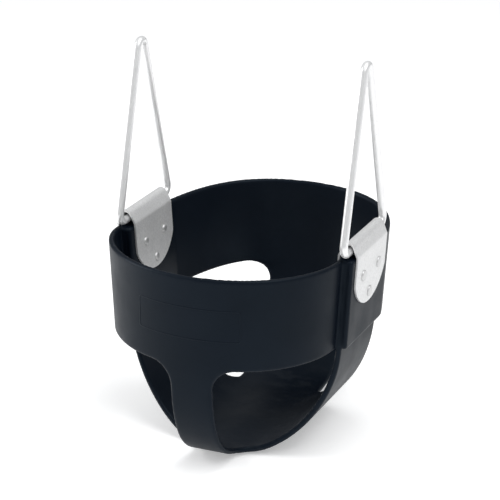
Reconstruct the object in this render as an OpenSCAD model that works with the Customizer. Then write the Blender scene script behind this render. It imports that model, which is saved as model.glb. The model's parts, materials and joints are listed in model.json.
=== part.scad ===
// Toddler bucket swing seat: moulded rubber bucket with spring-steel inserts,
// two folded side brackets, six rivets and two triangular wire hangers.
// Millimetres. Origin on the flat underside, midway between the two brackets.
// +X is to the rider's left-hand bracket, -Y is the front, +Z is up.

/* [Bucket] */
// Height of the rim above the flat underside
rim_z = 205; // [195:1:220]
// Height of the front and rear bands
band_h = 91; // [84:1:96]
// Thickness of each rubber layer
rubber_t = 5.5; // [5:0.1:6]
// Distance from the brackets' line to the outside of the front band
front_y = 145; // [138:1:152]
// Distance from the brackets' line to the outside of the rear band
rear_y = 162; // [154:1:170]
// How far the rear band flares outwards from its rim to its lower edge
rear_flare = 3; // [0:0.5:5]

/* [Straps and sling] */
// Half width of the crotch strap
front_strap_w = 21.2; // [18:0.2:24]
// Half width of the rear strap
rear_strap_w = 45; // [40:1:47]
// Radius of the corners where the straps meet the bands
strap_fillet = 22; // [16:1:26]
// Half width of the sling's side arms, and of the band ends riveted to them
arm_y = 48; // [45:0.5:50]
// Distance from the middle to the sling's front edge, under the crotch strap
front_join_y = 80; // [78:1:84]
// Distance from the middle to the sling's rear edge, under the rear strap
rear_join_y = 62; // [60:1:76]

/* [Sides] */
// Distance from the middle of the seat to each hanger's axis
side_x = 117; // [115:0.2:120]
// Height of the hangers' axis above the rim
hinge_rise = 6.3; // [6:0.1:7]
// Outward lean of the side pads, in degrees
side_lean = 3.6; // [2:0.2:5]

/* [Steel inserts] */
// Thickness of the spring-steel strips inside the rubber
insert_t = 0.8; // [0.6:0.1:1.2]
// Height of the strips in the bands
band_insert_h = 62; // [56:1:66]
// Width of the strip in the sling
sling_insert_w = 64; // [60:1:68]

/* [Brackets and rivets] */
// Thickness of the bracket sheet
sheet_t = 1.8; // [1.5:0.1:2]
// Half width of each bracket, front to rear
bracket_y = 40; // [38:0.5:42]
// Length of the bracket legs below the hanger's axis
bracket_drop = 61.3; // [58:0.1:64]
// Inside radius of the fold over the hanger
fold_r = 4.6; // [4.5:0.1:5]
// Radius of the rivet shanks
rivet_r = 3; // [2.5:0.1:3.5]
// Radius of the rivet heads
rivet_head_r = 5.4; // [4.8:0.1:6]
// Radius of the rivet tails inside the seat
rivet_tail_r = 4.2; // [3.8:0.1:5]
// Half the distance between the two upper rivets
rivet_y = 20.5; // [18:0.5:23]

/* [Hangers] */
// Diameter of the hanger wire
wire_d = 8; // [7.5:0.1:8.4]
// Height of the hanger's sharp triangle, before its apex is rounded
hanger_h = 190.9; // [170:0.1:200]
// Half the base of the hanger's sharp triangle
hanger_y = 55.3; // [54:0.1:58]
// Centre-line radius of the hanger's lower bends
hanger_foot_r = 8; // [7:0.5:9]
// Centre-line radius of the hanger's top bend
hanger_apex_r = 7.5; // [7:0.5:9]

/* [Hidden] */

rubber = [0.07, 0.09, 0.12];
spring_steel = [0.45, 0.46, 0.48];
satin_steel = [0.72, 0.72, 0.73];
bright_steel = [0.85, 0.85, 0.86];

$fn = 64;
hinge_z = rim_z + hinge_rise;
band_z = rim_z - band_h;            // lower edge of the bands
mid_t = rubber_t / 2;
pitch = rubber_t + 0.1;             // from one side layer to the next
stack = pitch + mid_t;              // half thickness of the three side layers
edge = 1.2;                         // chamfer along the rubber's edges
hole_r = rivet_r + 0.05;
rivet_upper = -28.3;                // rivet heights below the hanger's axis
rivet_lower = -51.3;
head_h = 1.9;
rear_pinch = 1.2;                   // how much the rear band narrows as it flares
flat_x = 14;                        // half width of the flat underside
flat_y = 45;                        // half length of the flat underside
strap_spread = 3.4;                 // how much a strap widens on its way to the sling
arm_curve = 22;                     // steps along one side of the sling
band_curve = 16;                    // steps along one side of a band
strap_steps = 14;
foot_steps = 10;                    // steps around each bend of a hanger's bow
wire_sides = 24;                    // facets around the bow
wire_lap = 1;                       // how far the bow's ends run into the straight base
wire_inset = 0.02;                  // how much thinner the bow is, so that its ends fit inside
insert_inset = 14;                  // height of the band strips above the bands' lower edge
insert_y = 38;                      // half length of the band strips' ends beside the rivets
through = 60;                       // longer than any rivet hole
pad_gap = 0.05;                     // clearance between the rubber and a bracket
arch_rise = 2.6;                    // height of the arch's centre above the hanger's axis
flank_z = -4.6;                     // where the flanks below the arch turn down into the legs
bracket_foot_r = 43.5;              // radius of the round foot of each bracket

// A point on a cubic curve
function cubic(a, b, c, d, t) =
    pow(1 - t, 3) * a + 3 * pow(1 - t, 2) * t * b + 3 * (1 - t) * t * t * c + t * t * t * d;
function unit(v) = v / norm(v);
// Direction along a list of points, at point i
function along(p, i) = unit(p[min(i + 1, len(p) - 1)] - p[max(i - 1, 0)]);

// Middle of a side layer at height z: -1 is the inner layer, 1 the outer one
function pad_x(z, layer) = side_x + tan(side_lean) * (z - hinge_z) + layer * pitch;

// Half of a band in plan at height z, from its side pad to the middle
function front_half(x, end_y) = concat([[x, end_y]], [for (i = [0:band_curve])
    cubic([x, -44], [x + 3, -82], [77, mid_t - front_y], [0, mid_t - front_y], i / band_curve)]);
function rear_half(x, y, end_y) = concat([[x, -end_y]], [for (i = [0:band_curve])
    cubic([x, 48], [x - 8.5 - rear_pinch * (y - rear_y + mid_t), 93], [82, y], [0, y],
        i / band_curve)]);
function flip(p) = [for (i = [len(p) - 2:-1:0]) [-p[i][0], p[i][1]]];
function front_plan(z, end_y) =
    concat(front_half(pad_x(z, -1), end_y), flip(front_half(pad_x(z, 1), end_y)));
function rear_plan(z, end_y) =
    let (y = rear_y - mid_t + rear_flare * (rim_z - z) / band_h)
    concat(rear_half(pad_x(z, 1), y, end_y), flip(rear_half(pad_x(z, -1), y, end_y)));

// Solid through rings of equal size. Points j and n-1-j of a ring face each other
module skin(rings) {
    n = len(rings[0]);
    last = len(rings) - 1;
    sides = [for (i = [0:last - 1], j = [0:n - 1])
        let (a = i * n + j, b = i * n + (j + 1) % n) each [[a, b, b + n], [a, b + n, a + n]]];
    ends = [for (j = [0:n / 2 - 2]) let (a = j, b = j + 1, c = n - 2 - j, d = n - 1 - j, e = last * n)
        each [[a, c, b], [a, d, c], [e + a, e + b, e + c], [e + a, e + c, e + d]]];
    polyhedron([for (ring = rings) each ring], concat(sides, ends), convexity = 6);
}

// Ring across a sheet: w lists places across it, half is its half thickness, c its chamfer
function across(w, half, c) = let (n = len(w) - 1) concat(
    [for (i = [0:n]) [w[i], i == 0 || i == n ? half - c : half]],
    [for (i = [n:-1:0]) [w[i], i == 0 || i == n ? c - half : -half]]);

// A band of rubber or steel that follows plan(z) between two heights
module band(front, low, high, half, c, end_y) {
    section = across([low, low + c, high - c, high], half, c);
    levels = [for (s = section) front ? front_plan(s[0], end_y) : rear_plan(s[0], end_y)];
    side = front ? -1 : 1;
    skin([for (i = [0:len(levels[0]) - 1]) [for (k = [0:len(section) - 1])
        let (j = front ? len(section) - 1 - k : k, p = levels[j][i], t = along(levels[j], i),
             w = side * section[j][1])
        [p[0] + t[1] * w, p[1] - t[0] * w, section[j][0]]]]);
}

// Middle line of a strap in the Y-Z plane, from the band's lower edge to the flat underside
function strap_line(y, t) =
    cubic([y, band_z], [y - 0.8, band_z - 80], [115, mid_t], [flat_y, mid_t], t);
// How much wider the strap is beside the band, and beside the sling
function flare_top(v) = v < strap_fillet
    ? strap_fillet - sqrt(max(0, v * (2 * strap_fillet - v))) : 0;
function flare_low(y, join) = strap_spread * pow(max(0, join + 15 - y) / 15, 2);
// How far a strap's edge rises to meet the sling, which curves up beside its flat
function bowl(x, y, join) = 0.0069 * pow(max(0, abs(x) - flat_x), 2)
    * pow(max(0, 1 - (y - join) / 45), 2);
// How far a band curves back from its middle at distance x, by halving
function back_at(b, c, d, x, lo = 0, hi = 1, n = 12) = let (m = (lo + hi) / 2)
    n == 0 ? cubic(0, 0, c[1], d[1], m)
        : cubic(0, b[0], c[0], d[0], m) < x ? back_at(b, c, d, x, m, hi, n - 1)
        : back_at(b, c, d, x, lo, m, n - 1);

// A strap that leaves a band's lower edge and bends under to meet the sling
module strap(side, half_w, join) {
    y = side < 0 ? front_y - mid_t : rear_y - mid_t + rear_flare;
    x = pad_x(band_z, 0);
    c = side < 0 ? [x + 3, y - 82] : [x - 8.5, y - 93];
    d = side < 0 ? [x, y - 44] : [x, y - 48];
    b = side < 0 ? [77, 0] : [82, 0];
    rows = [for (i = [-1:strap_steps]) let (t = i < 0 ? 0 : pow(i / strap_steps, 1.4),
        p = i < 0 ? [y, band_z + 6] : strap_line(y, t),
        d = i < 0 ? [0, -1] : unit(strap_line(y, t + 0.01) - strap_line(y, t)),
        w = half_w + flare_top(max(0, band_z - p[1])) + flare_low(p[0], join),
        fade = pow(max(0, 1 - t / 0.6), 1.5), half = i < 0 ? mid_t - 0.3 : mid_t)
        [p, d, w, fade, half]];
    intersection() {
        skin([for (r = rows) let (w = r[2])
            [for (s = across([-w, edge - w, -w / 2, 0, w / 2, w - edge, w], r[4], edge))
                let (out = s[1], in = back_at(b, c, d, abs(s[0])) * r[3],
                    up = bowl(s[0], r[0][0], join))
                [-side * s[0], side * (r[0][0] - in - r[1][1] * out),
                    r[0][1] + r[1][0] * out + up]]]);
        translate([-100, side < 0 ? -200 : join, -10]) cube([200, 200 - join, 300]);
    }
}

// Half of the sling's middle line in the X-Z plane, from the top of an arm to the middle
function sling_half(top) = let (x = pad_x(band_z, 0), lean = tan(side_lean)) concat(
    [[pad_x(top, 0), top], [pad_x((top + band_z) / 2, 0), (top + band_z) / 2]],
    [for (i = [0:arm_curve]) cubic([x, band_z], [x - lean * 60, band_z - 60],
        [64, mid_t], [flat_x, mid_t], i / arm_curve)], [[0, mid_t]]);
function sling_line(top) = concat(sling_half(top), flip(sling_half(top)));
// Half depth of the sling at distance x from the middle
function sling_y(x, strap_w, join) = let (corner = strap_w + strap_spread)
    x <= corner ? join : max(arm_y, join - (join - 50) * (x - corner) / (102 - corner));
function rise(y) = 3.7 * pow(max(0, abs(y) - flat_y) / (front_join_y - flat_y), 2);

// The sling's sheet: both arms and the seat's bottom
module sling(top, half, c, front_w = 0, rear_w = 0, const_y = 0) {
    line = sling_line(top);
    skin([for (i = [0:len(line) - 1]) let (t = along(line, i), x = abs(line[i][0]),
        f = const_y > 0 ? const_y : sling_y(x, front_w, front_join_y),
        r = const_y > 0 ? const_y : sling_y(x, rear_w, rear_join_y),
        g = min(flat_y, 0.8 * f), h = min(flat_y, 0.8 * r))
        [for (s = across([-f, c - f, -(f + g) / 2, -g, 0, h, (r + h) / 2, r - c, r], half, c))
            [line[i][0] - t[1] * s[1], s[0], line[i][1] + t[0] * s[1] + rise(s[0])]]]);
}

// Places things in a side's own frame: X outwards from the middle of the layers,
// Y along the hanger's axis, Z up the leaning pad, origin on the hanger's axis
module at_side(s) {
    mirror([s < 0 ? 1 : 0, 0, 0]) translate([side_x, 0, hinge_z]) rotate([0, side_lean, 0]) children();
}

module rivet_places() {
    for (p = [[-rivet_y, rivet_upper], [rivet_y, rivet_upper], [0, rivet_lower]])
        translate([0, p[0], p[1]]) rotate([0, 90, 0]) children();
}

module rivet_holes() {
    for (s = [-1, 1]) at_side(s) rivet_places() cylinder(h = through, r = hole_r, center = true);
}

// Spring-steel strip inside a band, and the one inside the sling
module band_steel(front) {
    low = band_z + insert_inset;
    band(front, low, low + band_insert_h, insert_t / 2, insert_t / 4, insert_y);
}
module sling_steel() { sling(rim_z - 12, insert_t / 2, insert_t / 4, const_y = sling_insert_w / 2); }

module front_apron() {
    color(rubber) difference() {
        union() {
            band(true, band_z, rim_z, mid_t, edge, arm_y);
            strap(-1, front_strap_w, front_join_y);
        }
        band_steel(true);
        rivet_holes();
    }
}

module rear_apron() {
    color(rubber) difference() {
        union() {
            band(false, band_z, rim_z, mid_t, edge, arm_y);
            strap(1, rear_strap_w, rear_join_y);
        }
        band_steel(false);
        rivet_holes();
    }
}

module seat_sling() {
    color(rubber) difference() {
        sling(rim_z, mid_t, edge, front_strap_w, rear_strap_w);
        sling_steel();
        rivet_holes();
    }
}

module front_insert() { color(spring_steel) difference() { band_steel(true); rivet_holes(); } }
module rear_insert() { color(spring_steel) difference() { band_steel(false); rivet_holes(); } }
module sling_insert() { color(spring_steel) difference() { sling_steel(); rivet_holes(); } }

// One side of the folded sheet in cross-section, g outside its inner face: the arch
// over the wire from its top down, the flank, and the foot of the leg
function fold_side(g) = let (x = stack + pad_gap, bend = [x, flank_z],
        v = bend - [0, arch_rise], turn = atan2(-v[1], v[0]) - acos(fold_r / norm(v)),
        mitre = (1 - cos(turn)) / sin(-turn))
    concat([for (a = [90:-(90 + turn) / 14:-turn]) [0, arch_rise] + (fold_r + g) * [cos(a), sin(a)]],
        [bend + g * [1, mitre], [x + g, -bracket_drop - 1]]);
function fold_shape() = let (out = fold_side(sheet_t), in = fold_side(0), n = len(out) - 1)
    concat(out, [for (i = [n:-1:0]) in[i]], [for (i = [1:n]) [-in[i][0], in[i][1]]],
        [for (i = [n:-1:1]) [-out[i][0], out[i][1]]]);

// One folded sheet: arch over the hanger's wire, flanks and two riveted legs
module bracket(s) {
    foot_z = bracket_foot_r - bracket_drop;
    color(satin_steel) at_side(s) difference() {
        intersection() {
            rotate([90, 0, 0]) linear_extrude(2 * bracket_y, center = true) polygon(fold_shape());
            rotate([90, 0, 90]) linear_extrude(40, center = true) union() {
                translate([-bracket_y, foot_z]) square([2 * bracket_y, 40]);
                intersection() {
                    translate([0, foot_z]) circle(r = bracket_foot_r);
                    translate([-bracket_y, -bracket_drop]) square([2 * bracket_y, bracket_foot_r + 5]);
                }
            }
        }
        rivet_places() cylinder(h = through, r = hole_r, center = true);
    }
}

module left_bracket() { bracket(-1); }
module right_bracket() { bracket(1); }

// A rivet through a bracket and all three layers, with a low domed head at each end
module rivet(s, y, z) {
    grip = stack + pad_gap + sheet_t;
    head = [[rivet_r, grip], [rivet_head_r, grip], [rivet_head_r, grip + 0.5 * head_h],
        [0.9 * rivet_head_r, grip + head_h], [0, grip + head_h]];
    tail = [[0, -grip - head_h], [0.5 * rivet_tail_r, -grip - 0.9 * head_h],
        [0.86 * rivet_tail_r, -grip - 0.6 * head_h], [rivet_tail_r, -grip - 0.25 * head_h],
        [rivet_tail_r, -grip], [rivet_r, -grip]];
    color(satin_steel) at_side(s) translate([0, y, z]) rotate([0, 90, 0]) rotate_extrude()
        polygon(concat(tail, head));
}

module left_rivet_front() { rivet(-1, -rivet_y, rivet_upper); }
module left_rivet_rear() { rivet(-1, rivet_y, rivet_upper); }
module left_rivet_low() { rivet(-1, 0, rivet_lower); }
module right_rivet_front() { rivet(1, -rivet_y, rivet_upper); }
module right_rivet_rear() { rivet(1, rivet_y, rivet_upper); }
module right_rivet_low() { rivet(1, 0, rivet_lower); }

// Points along an arc about c
function arc(c, r, from, to, n) =
    [for (i = [0:n]) let (a = from + (to - from) * i / n) c + r * [cos(a), sin(a)]];

// Closed triangle of round wire in the Y-Z plane: a straight base on the hanger's axis,
// and one bow that is bent up at both of its ends and over the top
module hanger(s) {
    half_apex = atan(hanger_y / hanger_h);
    foot_y = hanger_y - hanger_foot_r / tan(45 - half_apex / 2);
    top_z = hanger_h - hanger_apex_r / sin(half_apex);
    half = concat([[foot_y - wire_lap, 0]],
        arc([foot_y, hanger_foot_r], hanger_foot_r, -90, half_apex, foot_steps),
        arc([0, top_z], hanger_apex_r, half_apex, 90, foot_steps));
    bow = concat(half, flip(half));
    r = wire_d / 2;
    color(bright_steel) translate([s * side_x, 0, hinge_z]) {
        rotate([90, 0, 0]) cylinder(h = 2 * foot_y, r = r, center = true);
        skin([for (i = [0:len(bow) - 1]) let (d = along(bow, i))
            [for (k = [0.5:wire_sides]) let (a = 360 * k / wire_sides, q = r - wire_inset)
                [q * sin(a), bow[i][0] + q * cos(a) * d[1], bow[i][1] - q * cos(a) * d[0]]]]);
    }
}

module left_hanger() { hanger(-1); }
module right_hanger() { hanger(1); }

front_apron();
rear_apron();
seat_sling();
front_insert();
rear_insert();
sling_insert();
left_bracket();
right_bracket();
left_rivet_front();
left_rivet_rear();
left_rivet_low();
right_rivet_front();
right_rivet_rear();
right_rivet_low();
left_hanger();
right_hanger();
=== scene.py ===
"""Toddler bucket swing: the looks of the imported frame.

One continuous rubber bucket stands for the three CAD rubber solids. It is a thick shell round
smooth profile curves, meshed on a grid. Lengths are in millimetres until a mesh is made.
"""

import json
import math

import bpy
import numpy as np
from mathutils import Matrix, Vector


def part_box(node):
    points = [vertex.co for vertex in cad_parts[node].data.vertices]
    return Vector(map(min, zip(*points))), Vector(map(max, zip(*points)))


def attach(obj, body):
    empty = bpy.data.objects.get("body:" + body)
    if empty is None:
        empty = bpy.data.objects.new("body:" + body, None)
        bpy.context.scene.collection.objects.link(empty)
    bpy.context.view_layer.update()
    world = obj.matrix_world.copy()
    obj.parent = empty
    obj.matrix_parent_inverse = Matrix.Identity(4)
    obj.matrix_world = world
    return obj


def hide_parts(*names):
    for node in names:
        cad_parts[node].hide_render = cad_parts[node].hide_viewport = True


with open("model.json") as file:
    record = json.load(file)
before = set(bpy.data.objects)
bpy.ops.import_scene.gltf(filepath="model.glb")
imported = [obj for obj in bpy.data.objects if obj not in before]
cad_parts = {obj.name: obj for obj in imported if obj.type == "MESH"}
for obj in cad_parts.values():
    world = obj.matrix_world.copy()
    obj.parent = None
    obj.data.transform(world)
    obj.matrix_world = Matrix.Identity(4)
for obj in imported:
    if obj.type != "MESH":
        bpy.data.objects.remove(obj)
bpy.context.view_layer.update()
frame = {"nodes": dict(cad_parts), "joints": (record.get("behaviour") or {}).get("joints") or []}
MM = 0.001


def node_box(name):
    """Lowest and highest corners of a CAD node, in millimetres."""
    low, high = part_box(name)
    return np.array(low) / MM, np.array(high) / MM


# ---- Sizes taken from the frame ----------------------------------------------------------------
front_low, front_high = node_box("front_apron")
rear_low, rear_high = node_box("rear_apron")
hinge = {j["child"]: np.array(j["pos_m"]) / MM for j in frame["joints"]}["right_hanger"]

RIM_Z = front_high[2]
ARM_Y = front_high[1]
SIDE_X = hinge[0]
HINGE_Z = hinge[2]

# ---- Rubber sizes ------------------------------------------------------------------------------
BAND_H = 91
BAND_Z = RIM_Z - BAND_H
HALF_T = 2.75       # half thickness of the rubber
CORNER_R = 2.3      # rounding along the rubber's edges
LAYER = 5.42        # from one side layer to the next
LEAN = math.tan(math.radians(3.6))  # outward lean of the sides
REAR_FLARE = 3      # how far the rear band flares to its lower edge
LABEL_RISE = 0.2    # how far the label frame stands proud
FRONT_Y = -front_low[1] - HALF_T - LABEL_RISE   # middle line of the front band
BOX_GAP = 0.08      # keeps the rear band inside the CAD box
REAR_LOW_Y = rear_high[1] - HALF_T - BOX_GAP    # middle line of the rear band, lower edge
FRONT_STRAP_W = 21.2    # half width of the front strap
REAR_STRAP_W = 45       # half width of the rear strap
STRAP_FILLET = 22       # where a strap meets its band
SLING_FILLET = 13       # where a strap meets the sling
FRONT_JOIN_Y = 80       # how far forwards the sling reaches where it meets the front strap
REAR_JOIN_Y = 62        # and how far back at the rear strap
TAPER_X = 102           # from there its edges run straight towards this point, and they
TAPER_Y = 50            # stop narrowing at the arms' width
STRAP_PULL = 0.8        # how far a strap leans inwards below its band
FLAT_X = 14             # half width of the flat underside
FLAT_Y = 45             # half length of the flat underside
SOFT = 6                # reach of the smooth blend in the seat's bottom
FLOOR_GAP = 0.05        # keeps the underside off the floor
FLAT_Z = HALF_T - SOFT / 4 + FLOOR_GAP
FADE_Z = 19             # below this height a strap is straight across
HAND_OVER = 10          # height over which a strap takes the band's curve
END_CORNER = 5          # rounding of the corners at the bands' ends
CUT = 14                # the sling's own straps end this far below the bands
OVER = 30               # how far profile lines run past the rim
PAST_ARM = 20           # how far plan lines run past the bands' ends
BLEND = 0.05            # blend where rubber layers meet
SIDE_BLEND = 1.2        # how much wider it is over the sides
SIDE_BLEND_X = 90       # where it starts to widen
SIDE_BLEND_FADE = 8     # and the distance over which it does

# ---- Mesh grid ---------------------------------------------------------------------------------
GRID = 2.0   # spacing of the rubber's mesh
MARGIN = 5.7            # how far the grid reaches past the rubber
TABLE_STEP = 0.6        # spacing of the distance tables
CHUNK = 20000           # points handled at once
RECESS_X = 91           # a band's curve is kept at 0, 1, 2... 90 mm from its middle
RECESS_Y = 60           # and read from the part of its line this close to its middle


# ---- Curves ------------------------------------------------------------------------------------
def cubic(a, b, c, d):
    """Points along a cubic curve."""
    steps = 240
    t = np.linspace(0, 1, steps + 1)[:, None]
    a, b, c, d = (np.array(p, float) for p in (a, b, c, d))
    return (1 - t) ** 3 * a + 3 * (1 - t) ** 2 * t * b + 3 * (1 - t) * t * t * c + t ** 3 * d


def evenly(points):
    """The same line with points a fixed distance apart."""
    spacing = 0.7
    length = np.concatenate([[0], np.cumsum(np.linalg.norm(np.diff(points, axis=0), axis=1))])
    keep = np.concatenate([[True], np.diff(length) > 1e-6])
    at = np.linspace(0, length[-1], int(length[-1] / spacing) + 1)
    return np.stack([np.interp(at, length[keep], points[keep, k]) for k in (0, 1)], axis=1)


def pad_x(z, layer):
    """Middle of a side layer at height z: -1 is the inner layer, 1 the outer one."""
    return SIDE_X + LEAN * (z - HINGE_Z) + layer * LAYER


def front_half(x):
    """Right half of the front band in plan, for a side at x. It is straight as far as y = -44."""
    y = -FRONT_Y
    bend = cubic([x, -44], [x + 3, -82], [77, y], [0, y])
    return np.concatenate([[[x, ARM_Y + PAST_ARM]], bend])


def rear_half(x, y):
    """Right half of the rear band in plan, for a side at x and a middle at y."""
    bend_x = x - 8.5 - 1.2 * (y - REAR_LOW_Y + REAR_FLARE)
    bend = cubic([x, 48], [bend_x, 93], [82, y], [0, y])
    return np.concatenate([[[x, -ARM_Y - PAST_ARM]], bend])


def front_plan(z):
    """The front band's middle line in plan, from its left end round the front."""
    left = front_half(pad_x(z, 1)) * [-1, 1]
    return evenly(np.concatenate([left, front_half(pad_x(z, -1))[::-1]]))


def rear_plan(z):
    """The rear band's middle line in plan, from its right end round the back."""
    y = REAR_LOW_Y - REAR_FLARE * (z - BAND_Z) / BAND_H
    left = rear_half(pad_x(z, -1), y) * [-1, 1]
    return evenly(np.concatenate([rear_half(pad_x(z, 1), y), left[::-1]]))


def strap_profile():
    """Both straps and the bottom between them in the Y-Z plane, from front to rear."""
    top = RIM_Z + OVER
    bend_z, bend_y = BAND_Z - 80, 115
    front = cubic([-FRONT_Y, BAND_Z], [STRAP_PULL - FRONT_Y, bend_z],
                  [-bend_y, FLAT_Z], [-FLAT_Y, FLAT_Z])
    rear = cubic([REAR_LOW_Y, BAND_Z], [REAR_LOW_Y - STRAP_PULL, bend_z],
                 [bend_y, FLAT_Z], [FLAT_Y, FLAT_Z])
    rear_top = REAR_LOW_Y - REAR_FLARE * (top - BAND_Z) / BAND_H
    return evenly(np.concatenate([[[-FRONT_Y, top]], front, rear[::-1], [[rear_top, top]]]))


def sling_profile():
    """The sling's arms and bottom in the X-Z plane, from left to right."""
    top, x = RIM_Z + OVER, pad_x(BAND_Z, 0)
    drop, bend_x = 60, 64
    bend = cubic([x, BAND_Z], [x - LEAN * drop, BAND_Z - drop], [bend_x, FLAT_Z], [FLAT_X, FLAT_Z])
    right = np.concatenate([[[pad_x(top, 0), top]], bend])
    return evenly(np.concatenate([right * [-1, 1], right[::-1]]))


# ---- Distances ---------------------------------------------------------------------------------
def signed_distance(points, line):
    """Distance from points to a line, positive on the line's right-hand side."""
    skip = 12   # the nearest stretch is found from every twelfth point of the line
    coarse = line[::skip]
    out = np.empty(len(points))
    for s in range(0, len(points), CHUNK):
        p = points[s:s + CHUNK]
        near = ((p[:, None, :] - coarse[None]) ** 2).sum(-1).argmin(1) * skip
        piece = np.clip(near[:, None] + np.arange(-skip, skip), 0, len(line) - 2)
        a = line[piece]
        along = line[piece + 1] - a
        to = p[:, None, :] - a
        t = np.clip((to * along).sum(-1) / (along * along).sum(-1), 0, 1)
        apart = ((to - t[..., None] * along) ** 2).sum(-1)
        best = (np.arange(len(p)), apart.argmin(1))
        side = along[best][:, 1] * to[best][:, 0] - along[best][:, 0] * to[best][:, 1]
        out[s:s + CHUNK] = np.sqrt(apart[best]) * np.where(side > 0, 1, -1)
    return out


class Distance:
    """Signed distance to a line, kept on a fine grid and read between its points."""

    def __init__(self, line, low, high):
        step = TABLE_STEP
        self.low, self.step = np.array(low, float), step
        self.size = np.ceil((np.array(high) - low) / step).astype(int) + 2
        a, b = (self.low[k] + step * np.arange(self.size[k]) for k in (0, 1))
        grid = np.stack(np.meshgrid(a, b, indexing="ij"), axis=-1).reshape(-1, 2)
        self.table = signed_distance(grid, line).reshape(self.size)

    def __call__(self, a, b):
        edge = 1.001    # keeps the next grid point inside the table
        u = np.clip((a - self.low[0]) / self.step, 0, self.size[0] - edge)
        v = np.clip((b - self.low[1]) / self.step, 0, self.size[1] - edge)
        i, j = u.astype(int), v.astype(int)
        u, v, t = u - i, v - j, self.table
        return ((1 - u) * ((1 - v) * t[i, j] + v * t[i, j + 1])
                + u * ((1 - v) * t[i + 1, j] + v * t[i + 1, j + 1]))


def smooth_max(a, b, reach):
    """The larger of two values, with the corner between them rounded over this reach."""
    h = np.maximum(reach - np.abs(a - b), 0) / reach
    return np.maximum(a, b) + h * h * reach / 4


def smooth_min(a, b, reach):
    """The smaller of two values, rounded in the same way."""
    return -smooth_max(-a, -b, reach)


def round_union(a, b, r):
    """Union of two regions with an arc of radius r in the corner between them."""
    return np.maximum(r, np.minimum(a, b)) - np.hypot(np.maximum(r - a, 0), np.maximum(r - b, 0))


def round_overlap(a, b, r):
    """Overlap of two regions with its corner rounded to radius r."""
    return np.minimum(-r, np.maximum(a, b)) + np.hypot(np.maximum(r + a, 0), np.maximum(r + b, 0))


def sheet(surface, region):
    """A sheet of rubber along surface = 0 where region < 0, with rounded edges."""
    a, b = region + CORNER_R, np.abs(surface) - HALF_T + CORNER_R
    return np.minimum(np.maximum(a, b), 0) + np.hypot(np.maximum(a, 0), np.maximum(b, 0)) - CORNER_R


# ---- The rubber bucket -------------------------------------------------------------------------
class Bucket:
    """The bucket as a field: negative inside the rubber, zero on its surface."""

    def __init__(self):
        left, right = -135, 135
        front = ([left, -160], [right, 75])
        rear = ([left, -75], [right, 180])
        self.front = [Distance(front_plan(z), *front) for z in (BAND_Z, RIM_Z)]
        self.rear = [Distance(rear_plan(z), *rear) for z in (BAND_Z, RIM_Z)]
        self.strap = Distance(strap_profile(), [-160, -15], [185, 225])
        self.sling = Distance(sling_profile(), [left, -15], [right, 225])
        self.front_back = self.recess(front_plan(BAND_Z), -FRONT_Y)
        self.rear_back = self.recess(rear_plan(BAND_Z), REAR_LOW_Y)

    @staticmethod
    def recess(plan, middle_y):
        """How far a band's lower edge curves back from its middle, millimetre by millimetre."""
        at = np.arange(RECESS_X)
        line = plan[np.abs(plan[:, 1] - middle_y) < RECESS_Y]
        line = line[np.argsort(line[:, 0])]
        return np.abs(np.interp(at, line[:, 0], line[:, 1]) - middle_y)

    def bottom(self, x, y, z):
        """The straps' and the sling's surface."""
        at = range(RECESS_X)
        back = np.where(y < 0, np.interp(np.abs(x), at, self.front_back),
                        -np.interp(np.abs(x), at, self.rear_back))
        fade = np.clip((z - FADE_Z) / (BAND_Z - FADE_Z), 0, 1)
        return smooth_max(self.strap(y - back * fade, z), self.sling(x, z), SOFT)

    def __call__(self, x, y, z):
        up = (z - BAND_Z) / BAND_H
        low = self.bottom(x, y, z)
        mix = np.clip(1 + (z - BAND_Z) / HAND_OVER, 0, 1)
        mix = mix * mix * (3 - 2 * mix)
        below, above = BAND_Z - z, z - RIM_Z
        side = np.abs(x)
        sheets = []
        for plan, width, end in ((self.front, FRONT_STRAP_W, y - ARM_Y),
                                 (self.rear, REAR_STRAP_W, -y - ARM_Y)):
            band = plan[0](x, y) * (1 - up) + plan[1](x, y) * up
            region = round_overlap(below, end, END_CORNER)
            region = round_union(region, side - width, STRAP_FILLET)
            region = np.maximum(np.maximum(region, above), end)
            sheets.append(sheet(low * (1 - mix) + band * mix, region))
        join = np.where(y < 0, FRONT_JOIN_Y, REAR_JOIN_Y)
        width = np.where(y < 0, FRONT_STRAP_W, REAR_STRAP_W)
        narrow = (join - TAPER_Y) * (side - width) / (TAPER_X - width)
        half = np.clip(join - narrow, ARM_Y, join)
        strap = np.maximum(side - width, z - BAND_Z + CUT)
        region = round_union(np.abs(y) - half, strap, SLING_FILLET)
        sheets.append(sheet(low, np.maximum(region, above)))
        blend = BLEND + SIDE_BLEND * np.clip((side - SIDE_BLEND_X) / SIDE_BLEND_FADE, 0, 1)
        return smooth_min(smooth_min(sheets[0], sheets[1], blend), sheets[2], blend)


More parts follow.
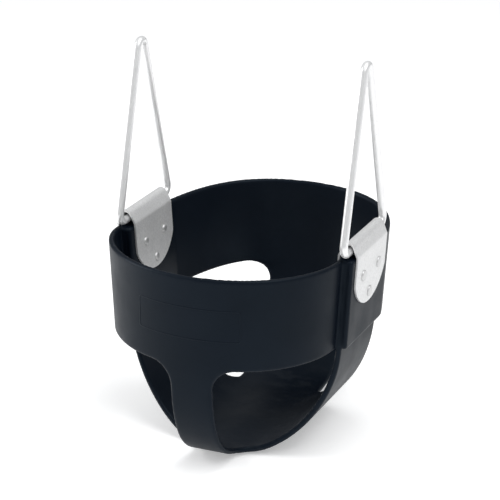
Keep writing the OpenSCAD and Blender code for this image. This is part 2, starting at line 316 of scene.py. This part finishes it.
def crossings(values, origin, step):
    """A closed quad mesh round the negative part of a grid of values, one vertex per cell."""
    inside = values < 0
    cells = np.array(values.shape) - 1
    total = np.zeros((cells.prod(), 3))
    count = np.zeros(cells.prod())
    quads = []
    for axis in range(3):
        first = [slice(None)] * 3
        second = [slice(None)] * 3
        first[axis], second[axis] = slice(None, -1), slice(1, None)
        a, b = values[tuple(first)], values[tuple(second)]
        at = np.argwhere(inside[tuple(first)] != inside[tuple(second)])
        fa, fb = a[tuple(at.T)], b[tuple(at.T)]
        point = at.astype(float)
        point[:, axis] += fa / (fa - fb)
        u, v = (axis + 1) % 3, (axis + 2) % 3
        corners = []
        for du, dv in ((-1, -1), (0, -1), (0, 0), (-1, 0)):
            cell = at.copy()
            cell[:, u] += du
            cell[:, v] += dv
            index = (cell[:, 0] * cells[1] + cell[:, 1]) * cells[2] + cell[:, 2]
            corners.append(index)
            for k in range(3):
                total[:, k] += np.bincount(index, point[:, k], len(total))
            count += np.bincount(index, minlength=len(total))
        quad = np.stack(corners, axis=1)
        out = fa < 0
        quads.append(np.where(out[:, None], quad, quad[:, ::-1]))
    used = count > 0
    number = np.cumsum(used) - 1
    points = total[used] / count[used][:, None] * step + origin
    return points, number[np.concatenate(quads)]


def slope_of(field, points):
    """The field's gradient, from its values a small way to each side."""
    reach = 0.2
    return np.stack([(field(*(points + d).T) - field(*(points - d).T)) / (2 * reach)
                     for d in reach * np.eye(3)], axis=1)


def settle(field, points, quads, step):
    """Evens out the mesh and puts every vertex on the field's surface."""
    ends = np.concatenate([quads, np.roll(quads, -1, axis=1)], axis=1).reshape(-1)
    others = np.concatenate([np.roll(quads, -1, axis=1), quads], axis=1).reshape(-1)
    degree = np.bincount(ends, minlength=len(points))[:, None]
    rounds, moves = 4, 2
    least_slope = 0.25
    for turn in range(rounds):
        if turn:
            mean = np.stack([np.bincount(ends, points[others, k], len(points))
                             for k in range(3)], 1)
            points = points + 0.5 * (mean / degree - points)
        for _ in range(moves):
            value = field(*points.T)
            slope = slope_of(field, points)
            move = value / np.maximum((slope ** 2).sum(1), least_slope)
            points = points - np.clip(move, -0.5 * step, 0.5 * step)[:, None] * slope
    return points


def add_object(name, data):
    """A new object in the scene that shows this mesh, camera or light."""
    made = bpy.data.objects.new(name, data)
    bpy.context.scene.collection.objects.link(made)
    return made


def build_mesh(name, points, faces):
    """A smooth-shaded Blender object from points in millimetres."""
    mesh = bpy.data.meshes.new(name)
    mesh.from_pydata((np.asarray(points) * MM).tolist(), [], [list(map(int, f)) for f in faces])
    mesh.validate()
    mesh.update()
    mesh.polygons.foreach_set("use_smooth", [True] * len(mesh.polygons))
    return add_object(name, mesh)


def ring_faces(count, sides, closed=True):
    """Faces between rings of points. In a closed loop the last ring meets the first one."""
    return [(i * sides + k, i * sides + (k + 1) % sides,
             (i + 1) % count * sides + (k + 1) % sides, (i + 1) % count * sides + k)
            for i in range(count if closed else count - 1) for k in range(sides)]


def make_rubber(field):
    """The whole bucket as one mesh."""
    low = np.minimum(front_low, rear_low) - MARGIN
    high = np.maximum(front_high, rear_high) + MARGIN
    axes = [np.arange(low[k], high[k] + GRID, GRID) for k in range(3)]
    shape = [len(a) for a in axes]
    values = np.empty(shape)
    for i, x in enumerate(axes[0]):
        y, z = (g.ravel() for g in np.meshgrid(axes[1], axes[2], indexing="ij"))
        values[i] = field(np.full(y.shape, x), y, z).reshape(shape[1:])
    points, quads = crossings(values, low, GRID)
    points = settle(field, points, quads, GRID)
    piece = build_mesh("rubber_bucket", points, quads)
    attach(piece, "seat")
    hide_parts("front_apron", "rear_apron", "seat_sling")
    return piece


# ---- Blank label frame -------------------------------------------------------------------------
LABEL_MIDDLE_X = -4
LABEL_X = 51.3          # half width
LABEL_Z = 15.3          # half height
LABEL_CORNER = 2.5
CORNER_STEPS = 6
RIDGE_SPACING = 4
BAND_FRONT_Y = -80      # the label lies on the part of the front band ahead of this
# Cross-section of the frame's ridge: distance outwards from its middle, and height
RIDGE = [(-0.75, -0.4), (-0.65, 0.1), (-0.4, LABEL_RISE),
         (0.4, LABEL_RISE), (0.65, 0.1), (0.75, -0.4)]


def arc(centre, r, start, end, steps):
    """Points along an arc, from a start to an end angle in degrees."""
    angles = np.radians(np.linspace(start, end, steps + 1))
    return np.array(centre) + r * np.stack([np.cos(angles), np.sin(angles)], axis=1)


def front_face(x, z, lift):
    """The point at x, z that is lifted this far off the front band's outer face."""
    near = []
    for level in (BAND_Z, RIM_Z):
        plan = front_plan(level)
        plan = plan[plan[:, 1] < BAND_FRONT_Y]
        near.append(np.interp([x - 1, x, x + 1], plan[:, 0], plan[:, 1]))
    up = (z - BAND_Z) / BAND_H
    before, y, after = near[0] * (1 - up) + near[1] * up
    slope = (after - before) / 2
    out = (HALF_T + lift) / math.hypot(slope, 1)
    return x + slope * out, y - out, z


def make_label():
    """The raised outline of a label on the front band, with nothing in it."""
    w, h = LABEL_X - LABEL_CORNER, LABEL_Z - LABEL_CORNER
    corners = [((w, -h), -90), ((w, h), 0), ((-w, h), 90), ((-w, -h), 180)]
    outward = np.concatenate([arc([0, 0], 1, start, start + 90, CORNER_STEPS)
                              for _, start in corners])
    centres = np.repeat([centre for centre, _ in corners], CORNER_STEPS + 1, axis=0)
    middle = centres + LABEL_CORNER * outward
    points = []
    for i in range(len(middle)):
        j = (i + 1) % len(middle)
        steps = max(1, round(np.linalg.norm(middle[j] - middle[i]) / RIDGE_SPACING))
        for t in np.arange(steps) / steps:
            x, z = middle[i] * (1 - t) + middle[j] * t
            nx, nz = outward[i] * (1 - t) + outward[j] * t
            points.extend(front_face(LABEL_MIDDLE_X + x + nx * side,
                                     BAND_Z + BAND_H / 2 + z + nz * side, lift)
                          for side, lift in RIDGE)
    sides = len(RIDGE)
    piece = build_mesh("blank_label_frame", points, ring_faces(len(points) // sides, sides))
    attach(piece, "seat")
    return piece


# ---- Steel parts -------------------------------------------------------------------------------
WIRE_R = 3.94
FOOT_R = 8              # bend of the wire's middle line at its lower corners
APEX_R = 7.5            # and at its top
HANGER_Y = 55.3         # half width and height of the triangle before its corners are rounded
HANGER_H = 190.9


def hanger_line():
    """Closed middle line of a hanger in its own Y-Z plane."""
    foot_steps, top_steps = 16, 24
    tip = math.atan(HANGER_Y / HANGER_H)
    tip_deg = math.degrees(tip)
    foot_y = HANGER_Y - FOOT_R / math.tan(math.pi / 4 - tip / 2)
    foot = arc([foot_y, FOOT_R], FOOT_R, -90, tip_deg, foot_steps)
    top_z = HANGER_H - APEX_R / math.sin(tip)
    top = arc([0, top_z], APEX_R, tip_deg, 180 - tip_deg, top_steps)
    leg = foot[-1] + (top[0] - foot[-1]) * np.linspace(0, 1, 18)[1:-1, None]
    base = np.stack([np.linspace(-foot_y, foot_y, 12)[1:-1], np.zeros(10)], axis=1)
    flip = [-1, 1]
    return np.concatenate([base, foot, leg, top, leg[::-1] * flip, foot[::-1] * flip])


def make_hanger(side, name):
    """A hanger's closed loop of round wire."""
    sides = 32
    line = hanger_line()
    ahead = np.roll(line, -1, axis=0) - np.roll(line, 1, axis=0)
    ahead /= np.linalg.norm(ahead, axis=1)[:, None]
    angle = -2 * np.pi * np.arange(sides) / sides
    points = []
    for (y, z), (dy, dz) in zip(line, ahead):
        ring = [[side * SIDE_X + WIRE_R * math.sin(a), y + WIRE_R * math.cos(a) * dz,
                 HINGE_Z + z - WIRE_R * math.cos(a) * dy] for a in angle]
        points.extend(ring)
    piece = build_mesh(name + "_wire", points, ring_faces(len(line), sides))
    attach(piece, name)
    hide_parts(name)
    return piece


def side_frame(side):
    """Places a side's own frame: X outwards, Z up the leaning pad, origin on the hanger's axis."""
    lean = Matrix.Rotation(math.atan(LEAN), 4, "Y")
    place = Matrix.Translation((SIDE_X * MM, 0, HINGE_Z * MM)) @ lean
    return Matrix.Scale(-1, 4, (1, 0, 0)) @ place if side < 0 else place


def place_on_side(piece, side):
    """Moves a piece made in a side's own frame to its place."""
    piece.data.transform(side_frame(side))
    if side < 0:
        piece.data.flip_normals()


SHEET_T = 1.8
LEG_X = 8.4 + SHEET_T / 2       # middle of a bracket leg's sheet
ARCH_R = 4.6 + SHEET_T / 2      # arch over the wire
ARCH_Z = 2.6
FLANK_Z = -4.6                  # where a flank turns down into its leg
BRACKET_Y = 40                  # half width
BRACKET_DROP = 61.3             # from the hanger's axis down to the legs' ends
BRACKET_FOOT_R = 43.5           # round of the legs' ends
EDGE_R = 0.45                   # rounding of the sheet's edges
# Where the rivets sit in a side's own frame, Y and Z
RIVETS = {"front": (-20.5, -28.3), "rear": (20.5, -28.3), "low": (0, -51.3)}


def bracket_half():
    """Middle of the folded sheet in cross-section, from the top of its arch down one leg."""
    reach = math.hypot(LEG_X, FLANK_Z - ARCH_Z)
    turn = math.degrees(math.atan2(ARCH_Z - FLANK_Z, LEG_X) - math.acos(ARCH_R / reach))
    arch_steps, foot_turns = 14, np.radians(np.arange(4, 89, 4))
    arch = arc([0, ARCH_Z], ARCH_R, 90, -turn, arch_steps)
    knee = np.array([LEG_X, FLANK_Z])
    flank = knee - arch[-1]
    # The flank, then a small round bend into the straight leg
    bend = [arch[-1] + flank * 0.5, arch[-1] + flank * 0.82,
            knee - [0.09, -0.25], [LEG_X, FLANK_Z - 1.2]]
    foot_z = BRACKET_FOOT_R - BRACKET_DROP
    straight = [[LEG_X, z] for z in np.linspace(FLANK_Z - 4, foot_z, 5)]
    foot = [[LEG_X, foot_z - BRACKET_FOOT_R * math.sin(a)] for a in foot_turns]
    return np.concatenate([arch, bend, straight, foot])


def make_bracket(side, name):
    """A folded sheet: its middle surface, thickened by a modifier."""
    columns = 24
    half = bracket_half()
    line = np.concatenate([half[::-1], half[1:] * [-1, 1]])
    foot_z = BRACKET_FOOT_R - BRACKET_DROP
    points = []
    for x, z in line:
        deep = max(foot_z - z, 0)
        width = min(BRACKET_Y, math.sqrt(max(BRACKET_FOOT_R ** 2 - deep ** 2, 1)))
        points.extend([x, width * v, z] for v in np.linspace(-1, 1, columns + 1))
    row = columns + 1
    faces = [(i * row + k, i * row + k + 1, (i + 1) * row + k + 1, (i + 1) * row + k)
             for i in range(len(line) - 1) for k in range(columns)]
    piece = build_mesh(name + "_sheet", points, faces)
    thick = piece.modifiers.new("thick", "SOLIDIFY")
    thick.thickness = SHEET_T * MM
    thick.offset = 0
    thick.use_even_offset = True
    edge = piece.modifiers.new("edge", "BEVEL")
    edge.width = EDGE_R * MM
    edge.segments = 3
    edge.limit_method = "ANGLE"
    edge.angle_limit = math.radians(50)
    edge.harden_normals = True
    place_on_side(piece, side)
    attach(piece, "seat")
    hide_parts(name)
    return piece


# Radius and height above the bracket along a rivet's nearly flat head and its domed tail
HEAD = [(5.4, 0), (5.4, 0.75), (5.25, 1.1), (4.95, 1.3), (4.5, 1.35), (4.25, 1.2), (4.0, 1.35),
        (3.0, 1.5), (1.6, 1.6), (0.4, 1.62)]
TAIL = [(4.2, 0), (4.2, 0.5), (4.0, 0.95), (3.5, 1.35), (2.7, 1.65), (1.6, 1.82), (0.4, 1.88)]


def make_rivet(side, name, y, z):
    """A rivet through both legs of a bracket, with its head outside."""
    sides = 40
    grip = LEG_X + SHEET_T / 2
    outline = [(r, -grip - h) for r, h in reversed(TAIL)] + [(r, grip + h) for r, h in HEAD]
    points = [[h, y + r * math.cos(a), z + r * math.sin(a)]
              for r, h in outline for a in 2 * np.pi * np.arange(sides) / sides]
    faces = ring_faces(len(outline), sides, closed=False)
    last = (len(outline) - 1) * sides
    faces += [tuple(range(sides - 1, -1, -1)), tuple(range(last, last + sides))]
    piece = build_mesh(name + "_head", points, faces)
    place_on_side(piece, side)
    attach(piece, "seat")
    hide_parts(name)
    return piece


# ---- Materials ---------------------------------------------------------------------------------
class Surface:
    """A material's node tree with short calls for the nodes used here."""

    def __init__(self, name):
        self.material = bpy.data.materials.new(name)
        self.material.use_nodes = True
        self.tree = self.material.node_tree
        self.shader = self.tree.nodes["Principled BSDF"]
        self.place = self.add("ShaderNodeTexCoord").outputs["Object"]

    def feed(self, socket, value):
        """Links another node's output into a socket, or sets the socket to a plain value."""
        if isinstance(value, bpy.types.NodeSocket):
            self.tree.links.new(value, socket)
        else:
            socket.default_value = value

    def add(self, kind, **inputs):
        """A new node, with an underscore for each space in its inputs' names."""
        node = self.tree.nodes.new(kind)
        for key, value in inputs.items():
            self.feed(node.inputs[key.replace("_", " ")], value)
        return node

    def noise(self, scale, detail=3, rough=0.5, stretch=None):
        """Noise in the object's own space. A stretch below 1 draws it out along that axis."""
        place = self.place
        if stretch:
            place = self.add("ShaderNodeMapping", Vector=place, Scale=stretch).outputs["Vector"]
        return self.add("ShaderNodeTexNoise", Vector=place, Scale=scale, Detail=detail,
                        Roughness=rough).outputs["Fac"]

    def spread(self, value, low, high, to_low=0.0, to_high=1.0):
        """Maps low..high to to_low..to_high with soft ends."""
        node = self.add("ShaderNodeMapRange", Value=value, From_Min=low, From_Max=high,
                        To_Min=to_low, To_Max=to_high)
        node.interpolation_type = "SMOOTHSTEP"
        return node.outputs["Result"]

    def combine(self, kind, a, b):
        """The sum or product of two values."""
        node = self.tree.nodes.new("ShaderNodeMath")
        node.operation = kind
        for socket, value in zip(node.inputs, (a, b)):
            self.feed(socket, value)
        return node.outputs[0]

    def mix(self, amount, a, b):
        """A colour between a and b, each of them a socket or three plain numbers."""
        node = self.tree.nodes.new("ShaderNodeMix")
        node.data_type = "RGBA"
        factor, colour_a, colour_b, colour_out = 0, 6, 7, 2
        self.feed(node.inputs[factor], amount)
        for key, value in ((colour_a, a), (colour_b, b)):
            linked = isinstance(value, bpy.types.NodeSocket)
            self.feed(node.inputs[key], value if linked else (*value, 1))
        return node.outputs[colour_out]

    def connect(self, value, socket):
        """Feeds a node's output to the shader."""
        self.tree.links.new(value, self.shader.inputs[socket])

    def bump(self, height, distance, strength):
        """Fine relief, with its depth in metres."""
        node = self.add("ShaderNodeBump", Height=height, Distance=distance, Strength=strength)
        self.connect(node.outputs["Normal"], "Normal")

    def set(self, **values):
        """Sets plain values on the shader."""
        for key, value in values.items():
            self.shader.inputs[key.replace("_", " ")].default_value = value


RUBBER_DARK = (0.0027, 0.0049, 0.0093)
RUBBER_PALE = (0.0040, 0.0069, 0.0126)
RUBBER_WORN = (0.020, 0.023, 0.028)
WORN_BELOW = 0.006      # heights in metres between which the worn patches of the seat fade out
WORN_ABOVE = 0.030
WORN_SHARE = 0.35


def rubber_material():
    """Blue-black rubber, faintly clouded, with pale worn patches in the seat's bottom."""
    s = Surface("rubber")
    cloud = s.noise(9, 4, 0.6)
    fine = s.noise(420, 3, 0.6)
    height = s.add("ShaderNodeSeparateXYZ", Vector=s.place).outputs["Z"]
    bottom = s.spread(height, WORN_BELOW, WORN_ABOVE, 1, 0)
    patches = s.spread(s.noise(30, 6, 0.7, (1, 2.2, 1)), 0.48, 0.62)
    scuff = s.combine("MULTIPLY", patches, bottom)
    tone = s.mix(s.spread(cloud, 0.3, 0.7), RUBBER_DARK, RUBBER_PALE)
    worn = s.mix(s.combine("MULTIPLY", scuff, WORN_SHARE), tone, RUBBER_WORN)
    s.connect(worn, "Base Color")
    rough = s.spread(s.noise(22, 5, 0.6), 0.3, 0.7, 0.40, 0.50)
    s.connect(s.combine("ADD", rough, s.combine("MULTIPLY", scuff, 0.12)), "Roughness")
    s.set(Specular_IOR_Level=0.13, Specular_Tint=(0.72, 0.88, 1, 1))
    relief = s.combine("ADD", s.combine("MULTIPLY", fine, 0.35), s.noise(60, 3))
    s.bump(relief, distance=0.00012, strength=0.5)
    return s.material


def steel_material(name, colour, rough, grain, metallic, contrast):
    """Steel with faint clouds and a fine grain, drawn out along an axis where it is below 1."""
    s = Surface(name)
    cloud = s.spread(s.noise(70, 4, 0.6), 0.3, 0.7)
    speckle = s.noise(800, 3, 0.7, grain)
    shade = s.mix(cloud, tuple(0.93 * c for c in colour), colour)
    dark = tuple((1 - contrast) * c for c in colour)
    s.connect(s.mix(s.spread(speckle, 0.36, 0.60), dark, shade), "Base Color")
    s.connect(s.spread(speckle, 0.25, 0.75, rough - 0.05, rough + 0.07), "Roughness")
    s.set(Metallic=metallic)
    s.bump(speckle, distance=0.00015 * contrast, strength=0.4)
    return s.material


def give(piece, material):
    """Gives a piece one material in place of any it has."""
    piece.data.materials.clear()
    piece.data.materials.append(material)


# ---- Build -------------------------------------------------------------------------------------
rubber_piece = make_rubber(Bucket())
rubber_look = rubber_material()
give(rubber_piece, rubber_look)
give(make_label(), rubber_look)
sheet_steel = steel_material("bracket_steel", colour=(0.80, 0.80, 0.80), rough=0.46,
                             grain=(1, 1, 0.55), metallic=0.50, contrast=0.17)
rivet_steel = steel_material("rivet_steel", colour=(0.66, 0.66, 0.66), rough=0.36,
                             grain=(1, 1, 1), metallic=0.7, contrast=0.12)
wire_steel = steel_material("wire_steel", colour=(0.93, 0.93, 0.93), rough=0.32,
                            grain=(1, 1, 0.1), metallic=0.55, contrast=0.05)
spring_steel = steel_material("spring_steel", colour=(0.42, 0.43, 0.45), rough=0.4,
                              grain=(1, 6, 1), metallic=1.0, contrast=0.15)
for side, name in ((-1, "left"), (1, "right")):
    give(make_hanger(side, name + "_hanger"), wire_steel)
    give(make_bracket(side, name + "_bracket"), sheet_steel)
    for key, (y, z) in RIVETS.items():
        give(make_rivet(side, f"{name}_rivet_{key}", y, z), rivet_steel)
for name in ("front_insert", "rear_insert", "sling_insert"):
    give(frame["nodes"][name], spring_steel)


# ---- Stage -------------------------------------------------------------------------------------
AZIMUTH = math.radians(23.6)
ELEVATION = math.radians(20.34)
DISTANCE = 1.953
LENS = 143.5
AIM = Vector((-0.001, 0, 0.205))
SHIFT_LEFT = 0.0004     # the frame's middle lies this far left of and below the aim
SHIFT_DOWN = 0.0210
ROOM_LOW = 0.30         # brightness of the room at eye level
ROOM_HIGH = 0.65        # and overhead
ROOM_TOP = 0.9          # upward part of the direction at which it is brightest
ROOM_COLOUR = (0.97, 0.985, 1, 1)
FLOOR_HALF = 6
FLOOR_GLOW = 0.36
# Name, place, aim, size and power of each soft box
LIGHTS = [("left", (-1.6, -0.5, 0.8), (0, 0, 0.15), (0.7, 1.2), 15),
          ("right", (1.1, -0.9, 1.7), (0, 0, 0.15), (0.8, 0.8), 5),
          ("top", (0.7, 0.0, 2.1), (0, 0, 0.1), (1.3, 1.3), 18)]


def make_camera():
    """The photograph's viewpoint, with a long lens."""
    across = Vector((math.cos(AZIMUTH), math.sin(AZIMUTH), 0))
    back = Vector((math.sin(AZIMUTH) * math.cos(ELEVATION),
                   -math.cos(AZIMUTH) * math.cos(ELEVATION), math.sin(ELEVATION)))
    upward = back.cross(across)
    camera = add_object("camera", bpy.data.cameras.new("camera"))
    aim = AIM - SHIFT_LEFT * across - SHIFT_DOWN * upward
    turn = Matrix((across, upward, back)).transposed().to_4x4()
    camera.matrix_world = Matrix.Translation(aim + back * DISTANCE) @ turn
    camera.data.sensor_width = 36
    camera.data.lens = LENS
    bpy.context.scene.camera = camera


def make_floor():
    """A plain white floor that glows a little, so that it stays white under soft light."""
    mesh = bpy.data.meshes.new("floor")
    corners = [(x * FLOOR_HALF, y * FLOOR_HALF, 0) for x, y in ((-1, -1), (1, -1), (1, 1), (-1, 1))]
    mesh.from_pydata(corners, [], [(0, 1, 2, 3)])
    floor = add_object("floor", mesh)
    s = Surface("floor")
    s.set(Base_Color=(0.9, 0.9, 0.9, 1), Roughness=0.9, Specular_IOR_Level=0.1,
          Emission_Color=(1, 1, 1, 1), Emission_Strength=FLOOR_GLOW)
    give(floor, s.material)


def area_light(name, place, aim, size, power):
    """A rectangular soft box that points at its aim."""
    data = bpy.data.lights.new(name, "AREA")
    data.shape = "RECTANGLE"
    data.size, data.size_y = size
    data.energy = power
    lamp = add_object(name, data)
    lamp.location = place
    lamp.rotation_euler = (Vector(aim) - Vector(place)).to_track_quat("-Z", "Y").to_euler()


def make_light():
    """A pale room, brighter overhead, with a soft box to each side and one above."""
    world = bpy.data.worlds.new("studio")
    world.use_nodes = True
    tree = world.node_tree
    place = tree.nodes.new("ShaderNodeTexCoord")
    split = tree.nodes.new("ShaderNodeSeparateXYZ")
    spread = tree.nodes.new("ShaderNodeMapRange")
    tree.links.new(place.outputs["Generated"], split.inputs["Vector"])
    tree.links.new(split.outputs["Z"], spread.inputs["Value"])
    for key, number in (("From Min", 0), ("From Max", ROOM_TOP),
                        ("To Min", ROOM_LOW), ("To Max", ROOM_HIGH)):
        spread.inputs[key].default_value = number
    background = tree.nodes["Background"]
    background.inputs["Color"].default_value = ROOM_COLOUR
    tree.links.new(spread.outputs["Result"], background.inputs["Strength"])
    bpy.context.scene.world = world
    for light in LIGHTS:
        area_light(*light)
    bpy.context.scene.view_settings.view_transform = "Standard"


make_camera()
make_floor()
make_light()
